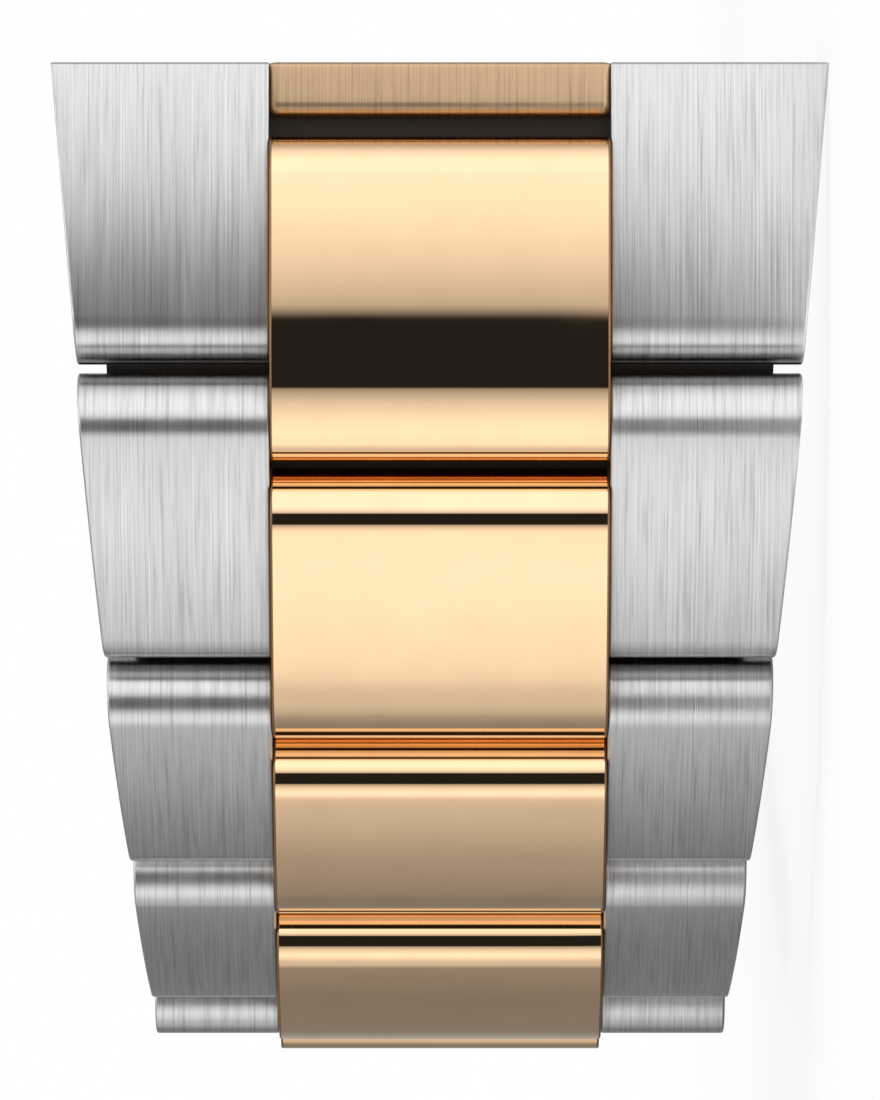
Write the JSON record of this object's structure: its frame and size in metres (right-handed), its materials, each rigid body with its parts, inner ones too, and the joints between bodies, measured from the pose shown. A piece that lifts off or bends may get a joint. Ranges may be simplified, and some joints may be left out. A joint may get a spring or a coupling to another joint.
{
  "type": "link watch bracelet",
  "caption": "Two-tone link watch bracelet with tapered steel outer links, polished gold centre links, screwed hinges and a folding clasp with side buttons.",
  "frame": {"origin": "centre of the bounding box, on the side that the bracelet lies on", "axes": "+Y along the opened bracelet, from the six o'clock end that meets the watch, past the clasp, to the twelve o'clock end; +X from the clasp's outer face to its wrist side; +Z along the hinge axes, so the bracelet lies on one side"},
  "size_m": [0.0276, 0.13, 0.0201],
  "materials": {
    "steel_links": "satin brushed along the bracelet",
    "gold_links": "mirror polished warm gold",
    "gold_bridge": "brushed warm gold",
    "pins": "turned steel",
    "clasp_steel": "satin brushed, polished edges",
    "blade_steel": "polished steel"
  },
  "bodies": {
    "clasp_cover": {"clasp_cover": "clasp_steel", "cover_hinge_pin": "pins", "adjuster_bar": "pins"},
    "clasp_middle_blade": {"clasp_middle_blade": "blade_steel", "blade_hinge_pin": "pins"},
    "clasp_lower_blade": {"clasp_lower_blade": "blade_steel", "end_hinge_pin": "pins"},
    "push_button_near": {"push_button_near": "clasp_steel"},
    "push_button_far": {"push_button_far": "clasp_steel"},
    "six_row1": {"six_row1_outer_links": "steel_links", "six_row1_centre_link": "gold_links", "six_row1_pins": "pins", "six_row1_end_bridge": "gold_bridge"},
    "six_row2": {"six_row2_outer_links": "steel_links", "six_row2_centre_link": "gold_links", "six_row2_pins": "pins"},
    "six_row3": {"six_row3_outer_links": "steel_links", "six_row3_centre_link": "gold_links", "six_row3_pins": "pins"},
    "six_row4": {"six_row4_outer_links": "steel_links", "six_row4_centre_link": "gold_links", "six_row4_pins": "pins"},
    "six_row5": {"six_row5_outer_links": "steel_links", "six_row5_centre_link": "gold_links", "six_row5_pins": "pins"},
    "six_row6": {"six_row6_outer_links": "steel_links", "six_row6_centre_link": "gold_links", "six_row6_pins": "pins"},
    "twelve_row1": {"twelve_row1_outer_links": "steel_links", "twelve_row1_centre_link": "gold_links", "twelve_row1_pins": "pins", "twelve_row1_end_bridge": "gold_bridge"},
    "twelve_row2": {"twelve_row2_outer_links": "steel_links", "twelve_row2_centre_link": "gold_links", "twelve_row2_pins": "pins"},
    "twelve_row3": {"twelve_row3_outer_links": "steel_links", "twelve_row3_centre_link": "gold_links", "twelve_row3_pins": "pins"},
    "twelve_row4": {"twelve_row4_outer_links": "steel_links", "twelve_row4_centre_link": "gold_links", "twelve_row4_pins": "pins"},
    "twelve_row5": {"twelve_row5_outer_links": "steel_links", "twelve_row5_centre_link": "gold_links", "twelve_row5_pins": "pins"},
    "twelve_row6": {"twelve_row6_outer_links": "steel_links", "twelve_row6_centre_link": "gold_links", "twelve_row6_pins": "pins"}
  },
  "joints": [
    {"name": "six_row6_hinge", "type": "hinge", "parent": "clasp_cover", "child": "six_row6", "pos_m": [-0.01002, -0.02398, 0.01005], "axis": [0, 0, 1], "range_deg": [-1.01, 42.99]},
    {"name": "six_row5_hinge", "type": "hinge", "parent": "six_row6", "child": "six_row5", "pos_m": [-0.01112, -0.03289, 0.01005], "axis": [0, 0, 1], "range_deg": [-8, 40]},
    {"name": "six_row4_hinge", "type": "hinge", "parent": "six_row5", "child": "six_row4", "pos_m": [-0.01221, -0.04179, 0.01005], "axis": [0, 0, 1], "range_deg": [-38.3, 9.7]},
    {"name": "six_row3_hinge", "type": "hinge", "parent": "six_row4", "child": "six_row3", "pos_m": [-0.00866, -0.05003, 0.01005], "axis": [0, 0, 1], "range_deg": [-17, 31]},
    {"name": "six_row2_hinge", "type": "hinge", "parent": "six_row3", "child": "six_row2", "pos_m": [-0.00387, -0.05761, 0.01005], "axis": [0, 0, 1], "range_deg": [-29.7, 18.3]},
    {"name": "six_row1_hinge", "type": "hinge", "parent": "six_row2", "child": "six_row1", "pos_m": [0.00339, -0.06288, 0.01005], "axis": [0, 0, 1], "range_deg": [-43, 5]},
    {"name": "twelve_row6_hinge", "type": "hinge", "parent": "clasp_lower_blade", "child": "twelve_row6", "pos_m": [0.00173, 0.0128, 0.01005], "axis": [0, 0, -1], "range_deg": [-1.43, 42.57]},
    {"name": "twelve_row5_hinge", "type": "hinge", "parent": "twelve_row6", "child": "twelve_row5", "pos_m": [0.0058, 0.0208, 0.01005], "axis": [0, 0, -1], "range_deg": [-1.5, 46.5]},
    {"name": "twelve_row4_hinge", "type": "hinge", "parent": "twelve_row5", "child": "twelve_row4", "pos_m": [0.00894, 0.0292, 0.01005], "axis": [0, 0, -1], "range_deg": [-1.5, 46.5]},
    {"name": "twelve_row3_hinge", "type": "hinge", "parent": "twelve_row4", "child": "twelve_row3", "pos_m": [0.01111, 0.0379, 0.01005], "axis": [0, 0, -1], "range_deg": [-2, 46]},
    {"name": "twelve_row2_hinge", "type": "hinge", "parent": "twelve_row3", "child": "twelve_row2", "pos_m": [0.01236, 0.04678, 0.01005], "axis": [0, 0, -1], "range_deg": [-2, 46]},
    {"name": "twelve_row1_hinge", "type": "hinge", "parent": "twelve_row2", "child": "twelve_row1", "pos_m": [0.01267, 0.05575, 0.01005], "axis": [0, 0, -1], "range_deg": [-2, 46]},
    {"name": "cover_hinge", "type": "hinge", "parent": "clasp_cover", "child": "clasp_middle_blade", "pos_m": [-0.001, 0.01044, 0.01005], "axis": [0, 0, 1], "range_deg": [0, 170]},
    {"name": "blade_hinge", "type": "hinge", "parent": "clasp_middle_blade", "child": "clasp_lower_blade", "pos_m": [-0.00954, -0.01777, 0.01005], "axis": [0, 0, 1], "range_deg": [-170, 0]},
    {"name": "push_button_near_press", "type": "slide", "parent": "clasp_cover", "child": "push_button_near", "axis": [0, 0, 1], "range_m": [0, 0.0005], "stiffness_N_per_m": 600, "springref_m": -0.0005},
    {"name": "push_button_far_press", "type": "slide", "parent": "clasp_cover", "child": "push_button_far", "axis": [0, 0, -1], "range_m": [0, 0.0005], "stiffness_N_per_m": 600, "springref_m": -0.0005}
  ],
  "couplings": [
    {"joint": "blade_hinge", "follows": "cover_hinge", "ratio": -1}
  ]
}
